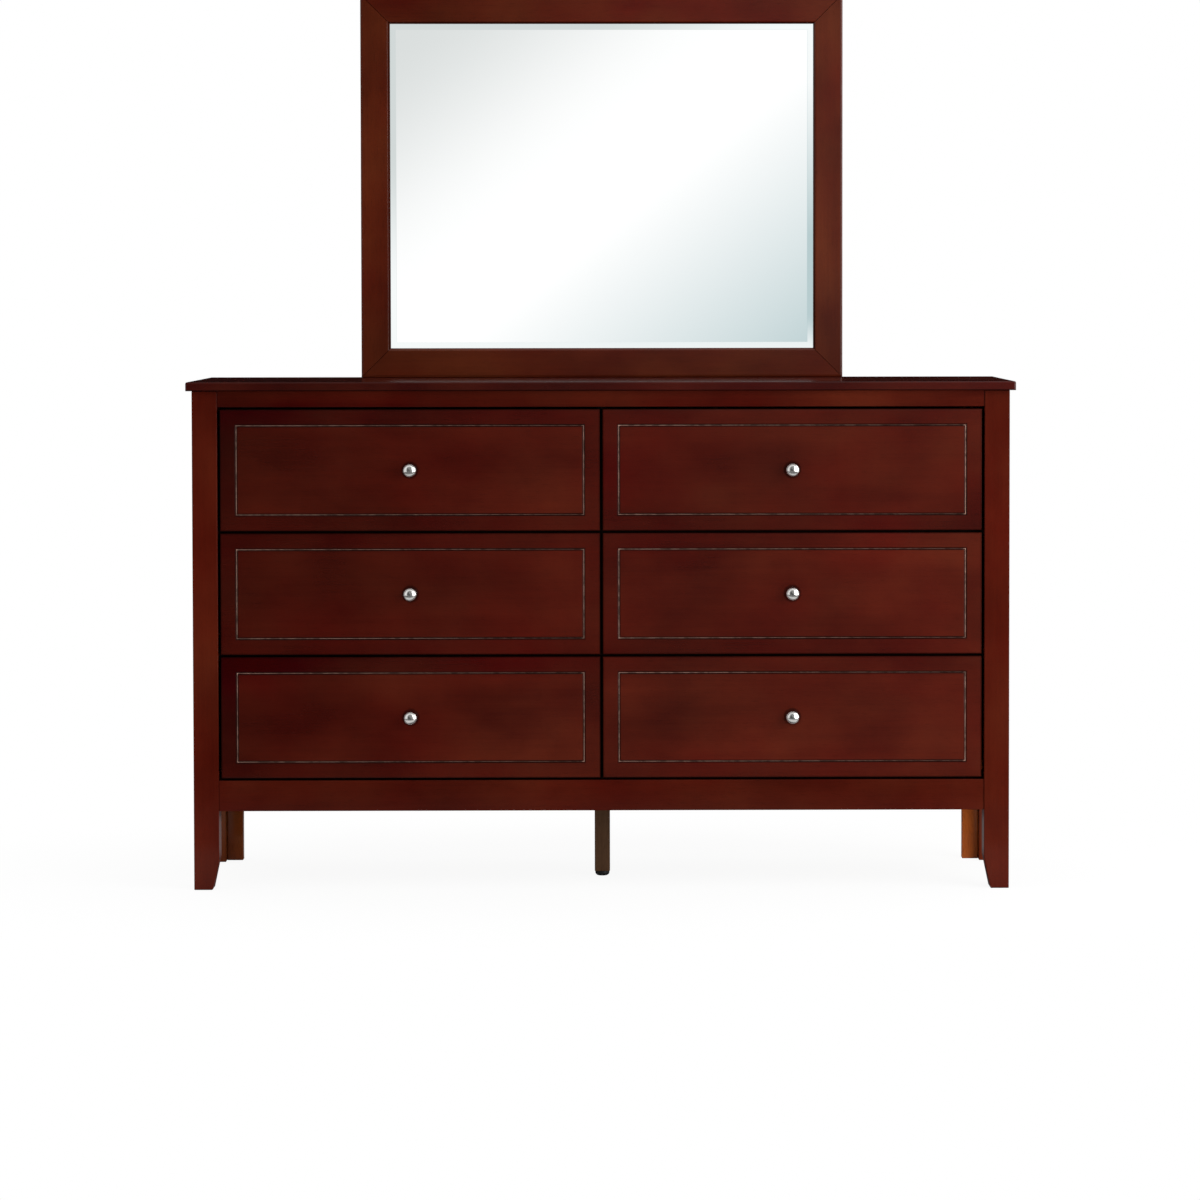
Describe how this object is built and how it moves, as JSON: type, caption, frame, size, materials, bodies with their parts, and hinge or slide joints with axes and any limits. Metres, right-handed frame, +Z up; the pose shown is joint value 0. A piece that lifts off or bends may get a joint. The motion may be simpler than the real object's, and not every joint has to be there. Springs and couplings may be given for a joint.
{
  "type": "dresser",
  "caption": "Wide low dresser in dark lacquered wood with two columns of drawers, round metal knobs, square tapered legs and a framed bevelled mirror standing on its top.",
  "frame": {"origin": "on the floor, under the middle of the whole object's box", "axes": "+X to the right as seen from the front, +Y from the drawer fronts to the back, +Z up"},
  "size_m": [1.487, 0.443, 1.635],
  "materials": {
    "lacquer_grain_x": "gloss lacquer on cherry-coloured wood, grain along X",
    "lacquer_grain_y": "gloss lacquer on cherry-coloured wood, grain along Y",
    "lacquer_grain_z": "gloss lacquer on cherry-coloured wood, grain along Z",
    "lacquer_panel": "gloss lacquer on a veneered panel, grain along Z",
    "inner_wood_x": "thin stain, matt, grain along X",
    "inner_wood_y": "thin stain, matt, grain along Y",
    "inner_wood_z": "thin stain, matt, grain along Z",
    "drawer_wood_x": "clear sealed light wood, grain along X",
    "drawer_wood_y": "clear sealed light wood, grain along Y",
    "thin_board": "smooth thin board, matt",
    "centre_leg_wood": "dark stain, satin",
    "glide_plastic": "black, satin",
    "knob_metal": "satin nickel",
    "screw_steel": "zinc plated",
    "mirror_glass": "silvered glass with a polished bevel"
  },
  "bodies": {
    "carcass": {"top_board": "lacquer_grain_x", "front_post_left": "lacquer_grain_z", "rear_leg_side_board_left": "lacquer_grain_z", "rear_leg_back_board_left": "lacquer_grain_z", "side_rails_left": "lacquer_grain_y", "side_panel_left": "lacquer_panel", "front_post_right": "lacquer_grain_z", "rear_leg_side_board_right": "lacquer_grain_z", "rear_leg_back_board_right": "lacquer_grain_z", "side_rails_right": "lacquer_grain_y", "side_panel_right": "lacquer_panel", "top_rail": "lacquer_grain_x", "bottom_rail": "lacquer_grain_x", "divider_rails": "inner_wood_x", "rear_web_rails": "inner_wood_x", "rear_top_rails": "inner_wood_x", "drawer_runners": "inner_wood_y", "centre_partition": "inner_wood_y", "back_panel": "thin_board", "centre_leg": "centre_leg_wood", "centre_leg_glide": "glide_plastic", "mirror_bottom_rail": "lacquer_grain_x", "mirror_top_rail": "lacquer_grain_x", "mirror_stile_left": "lacquer_grain_z", "mirror_stile_right": "lacquer_grain_z", "mirror_glass": "mirror_glass", "mirror_backing": "thin_board", "mirror_supports": "inner_wood_z", "support_screws": "screw_steel"},
    "drawer_bottom_left": {"drawer_bottom_left_front": "lacquer_grain_x", "drawer_bottom_left_sides": "drawer_wood_y", "drawer_bottom_left_back": "drawer_wood_x", "drawer_bottom_left_bottom": "thin_board", "drawer_bottom_left_knob": "knob_metal"},
    "drawer_bottom_right": {"drawer_bottom_right_front": "lacquer_grain_x", "drawer_bottom_right_sides": "drawer_wood_y", "drawer_bottom_right_back": "drawer_wood_x", "drawer_bottom_right_bottom": "thin_board", "drawer_bottom_right_knob": "knob_metal"},
    "drawer_middle_left": {"drawer_middle_left_front": "lacquer_grain_x", "drawer_middle_left_sides": "drawer_wood_y", "drawer_middle_left_back": "drawer_wood_x", "drawer_middle_left_bottom": "thin_board", "drawer_middle_left_knob": "knob_metal"},
    "drawer_middle_right": {"drawer_middle_right_front": "lacquer_grain_x", "drawer_middle_right_sides": "drawer_wood_y", "drawer_middle_right_back": "drawer_wood_x", "drawer_middle_right_bottom": "thin_board", "drawer_middle_right_knob": "knob_metal"},
    "drawer_top_left": {"drawer_top_left_front": "lacquer_grain_x", "drawer_top_left_sides": "drawer_wood_y", "drawer_top_left_back": "drawer_wood_x", "drawer_top_left_bottom": "thin_board", "drawer_top_left_knob": "knob_metal"},
    "drawer_top_right": {"drawer_top_right_front": "lacquer_grain_x", "drawer_top_right_sides": "drawer_wood_y", "drawer_top_right_back": "drawer_wood_x", "drawer_top_right_bottom": "thin_board", "drawer_top_right_knob": "knob_metal"}
  },
  "joints": [
    {"name": "drawer_bottom_left_slide", "type": "slide", "parent": "carcass", "child": "drawer_bottom_left", "axis": [0, -1, 0], "range_m": [0, 0.26]},
    {"name": "drawer_bottom_right_slide", "type": "slide", "parent": "carcass", "child": "drawer_bottom_right", "axis": [0, -1, 0], "range_m": [0, 0.26]},
    {"name": "drawer_middle_left_slide", "type": "slide", "parent": "carcass", "child": "drawer_middle_left", "axis": [0, -1, 0], "range_m": [0, 0.26]},
    {"name": "drawer_middle_right_slide", "type": "slide", "parent": "carcass", "child": "drawer_middle_right", "axis": [0, -1, 0], "range_m": [0, 0.26]},
    {"name": "drawer_top_left_slide", "type": "slide", "parent": "carcass", "child": "drawer_top_left", "axis": [0, -1, 0], "range_m": [0, 0.26]},
    {"name": "drawer_top_right_slide", "type": "slide", "parent": "carcass", "child": "drawer_top_right", "axis": [0, -1, 0], "range_m": [0, 0.26]}
  ]
}
